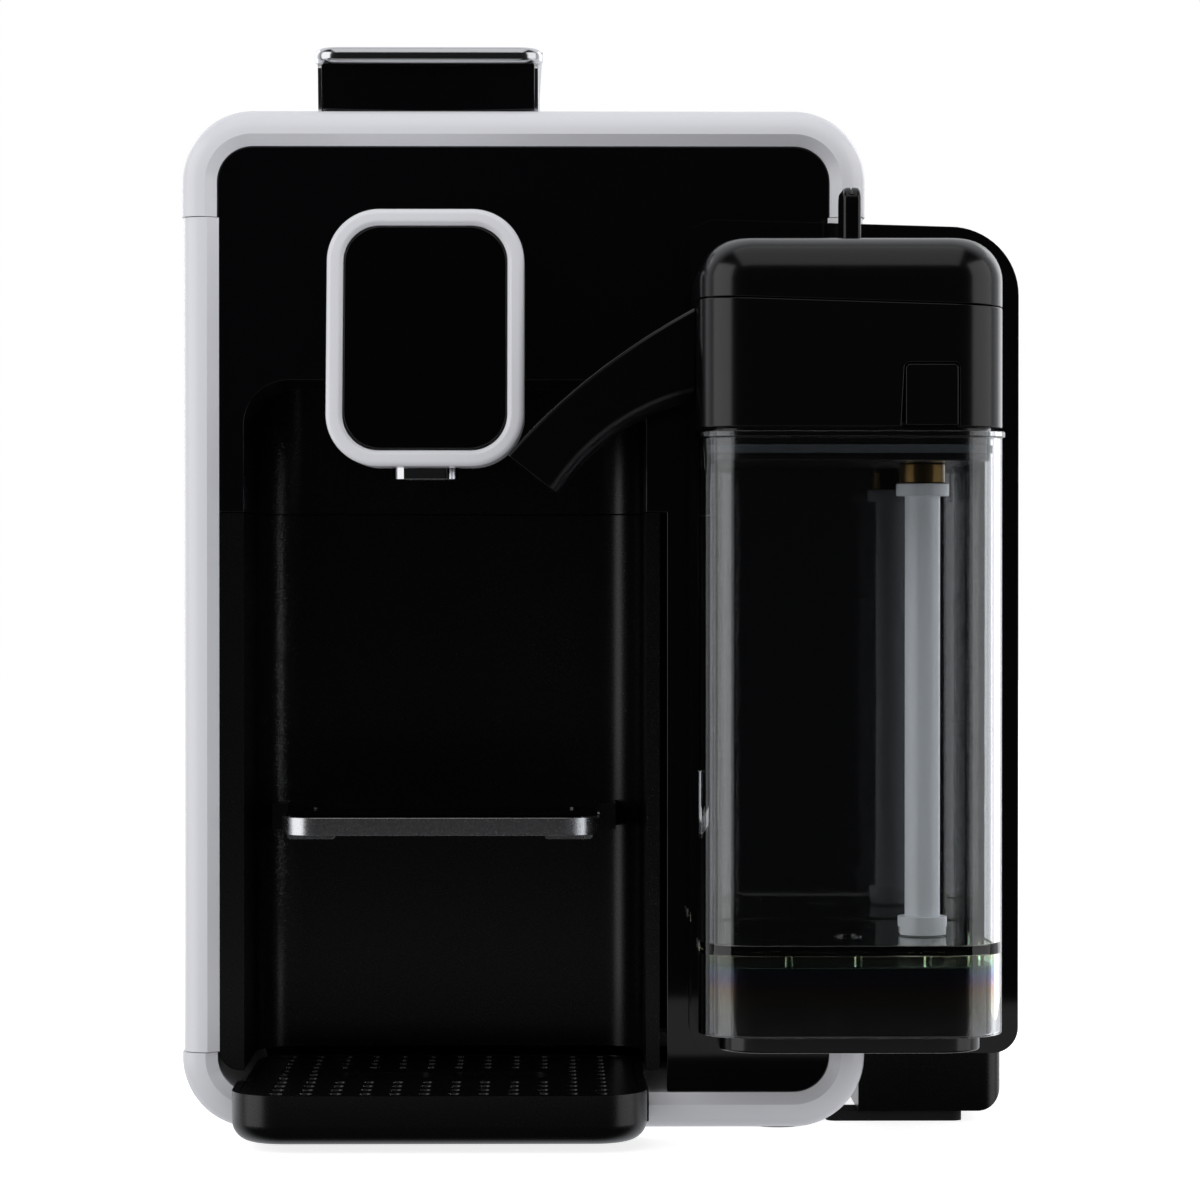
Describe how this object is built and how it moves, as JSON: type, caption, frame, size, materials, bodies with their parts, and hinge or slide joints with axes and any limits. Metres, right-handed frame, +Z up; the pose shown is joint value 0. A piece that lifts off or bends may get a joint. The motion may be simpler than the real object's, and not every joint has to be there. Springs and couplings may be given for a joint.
{
  "type": "pod coffee machine",
  "caption": "Countertop pod coffee machine: white-framed body with a cup niche, drip tray, lever and rear tank, and a clip-on clear milk jug with a frothing head and spout.",
  "frame": {"origin": "centre of the machine's footprint, on the table", "axes": "+X right as seen from the front, +Y from the front to the back, +Z up"},
  "size_m": [0.2508, 0.34, 0.3284],
  "materials": {
    "white_gloss": "smooth glossy white moulding",
    "black_gloss": "polished black moulding",
    "black_satin": "satin black moulding",
    "black_glass": "polished black panel",
    "chrome": "mirror plated",
    "satin_metal": "satin brushed",
    "steel": "plain turned steel",
    "rubber": "soft black rubber",
    "clear_plastic": "clear moulded plastic",
    "smoke_plastic": "smoky clear plastic",
    "silicone": "milky silicone",
    "brass": "dark brass fitting",
    "inner_plastic": "grey engineering plastic",
    "aluminium": "die cast",
    "circuit": "coated circuit board"
  },
  "bodies": {
    "machine": {"base_plate": "black_satin", "rubber_feet": "rubber", "bottom_band": "white_gloss", "left_side_panel": "white_gloss", "right_side_panel": "white_gloss", "top_cover": "white_gloss", "rear_cover": "black_satin", "front_panel": "black_gloss", "niche_upper": "black_satin", "head_ring": "white_gloss", "head_shell": "black_gloss", "display_glass": "black_glass", "display_board": "circuit", "coffee_spout": "chrome", "lever_bracket": "black_satin", "lever_pin": "steel", "brew_frame": "inner_plastic", "injection_cage": "inner_plastic", "milk_dock": "black_gloss", "side_housing": "black_gloss", "steam_nozzle": "steel", "pump": "inner_plastic", "pump_mounts": "rubber", "thermoblock": "aluminium", "steam_boiler": "steel", "flow_meter": "inner_plastic", "control_board": "circuit", "solenoid_valve": "inner_plastic", "hoses": "silicone", "mains_inlet": "black_satin", "case_screws": "steel"},
    "lever": {"lever_frame": "chrome", "lever_insert": "black_gloss", "lever_crank": "steel"},
    "carriage": {"brew_carriage": "inner_plastic"},
    "drawer": {"pod_drawer": "black_satin", "shelf_pin": "steel"},
    "bin": {"pod_bin": "smoke_plastic"},
    "tray": {"drip_tray": "black_satin"},
    "grid": {"drip_grid": "black_satin"},
    "shelf": {"cup_shelf": "black_gloss", "shelf_trim": "satin_metal"},
    "milk_head": {"milk_head_body": "black_gloss", "jug_seal": "silicone", "suction_tube": "silicone", "tube_foot": "silicone", "tube_connector": "brass", "latch_spring": "steel"},
    "milk_cap": {"milk_head_cap": "black_gloss"},
    "knob": {"froth_knob": "black_gloss"},
    "spout": {"milk_spout": "black_gloss"},
    "latch": {"latch_button": "black_gloss"},
    "jug": {"milk_jug": "clear_plastic", "jug_base": "black_satin"},
    "tank": {"water_tank": "smoke_plastic", "tank_valve_spring": "steel"},
    "lid": {"tank_lid": "black_gloss"},
    "valve": {"tank_valve": "inner_plastic"},
    "switch": {"power_switch": "black_satin"}
  },
  "joints": [
    {"name": "lever_hinge", "type": "hinge", "parent": "machine", "child": "lever", "pos_m": [-0.0515, 0.056, 0.3155], "axis": [-1, 0, 0], "range_deg": [0, 75]},
    {"name": "carriage_slide", "type": "slide", "parent": "machine", "child": "carriage", "axis": [0, -1, 0], "range_m": [0, 0.0294]},
    {"name": "drawer_slide", "type": "slide", "parent": "machine", "child": "drawer", "axis": [0, -1, 0], "range_m": [0, 0.15]},
    {"name": "bin_lift", "type": "slide", "parent": "drawer", "child": "bin", "axis": [0, 0, 1], "range_m": [0, 0.055]},
    {"name": "tray_slide", "type": "slide", "parent": "drawer", "child": "tray", "axis": [0, -1, 0], "range_m": [0, 0.11]},
    {"name": "grid_lift", "type": "slide", "parent": "tray", "child": "grid", "axis": [0, 0, 1], "range_m": [0, 0.04]},
    {"name": "shelf_fold", "type": "hinge", "parent": "drawer", "child": "shelf", "pos_m": [-0.04785, -0.022, 0.0937], "axis": [-1, 0, 0], "range_deg": [0, 88]},
    {"name": "milk_slide", "type": "slide", "parent": "machine", "child": "milk_head", "axis": [0, -1, 0], "range_m": [0, 0.1]},
    {"name": "cap_lift", "type": "slide", "parent": "milk_head", "child": "milk_cap", "axis": [0, 0, 1], "range_m": [0, 0.02]},
    {"name": "knob_turn", "type": "hinge", "parent": "milk_cap", "child": "knob", "pos_m": [0.0715, -0.122, 0.27], "axis": [0, 0, 1], "range_deg": [-60, 60]},
    {"name": "spout_swing", "type": "hinge", "parent": "milk_head", "child": "spout", "pos_m": [0.027, -0.122, 0.231], "axis": [-1, 0, 0], "range_deg": [0, 60]},
    {"name": "latch_press", "type": "slide", "parent": "milk_head", "child": "latch", "axis": [0, 1, 0], "range_m": [0, 0.0025], "stiffness_N_per_m": 400, "springref_m": -0.002},
    {"name": "jug_drop", "type": "slide", "parent": "milk_head", "child": "jug", "axis": [0, 0, -1], "range_m": [0, 0.03]},
    {"name": "tank_lift", "type": "slide", "parent": "machine", "child": "tank", "axis": [0, 0, 1], "range_m": [0, 0.12]},
    {"name": "lid_hinge", "type": "hinge", "parent": "tank", "child": "lid", "pos_m": [-0.02265, 0.165, 0.267], "axis": [-1, 0, 0], "range_deg": [0, 100]},
    {"name": "valve_lift", "type": "slide", "parent": "tank", "child": "valve", "axis": [0, 0, 1], "range_m": [0, 0.003], "stiffness_N_per_m": 300, "springref_m": -0.002, "deforming": ["tank_valve_spring"]},
    {"name": "switch_rock", "type": "hinge", "parent": "machine", "child": "switch", "pos_m": [0.06, 0.107, 0.076], "axis": [-1, 0, 0], "range_deg": [0, 12]}
  ],
  "couplings": [
    {"joint": "carriage_slide", "follows": "lever_hinge", "m_per_rad": 0.022323}
  ]
}
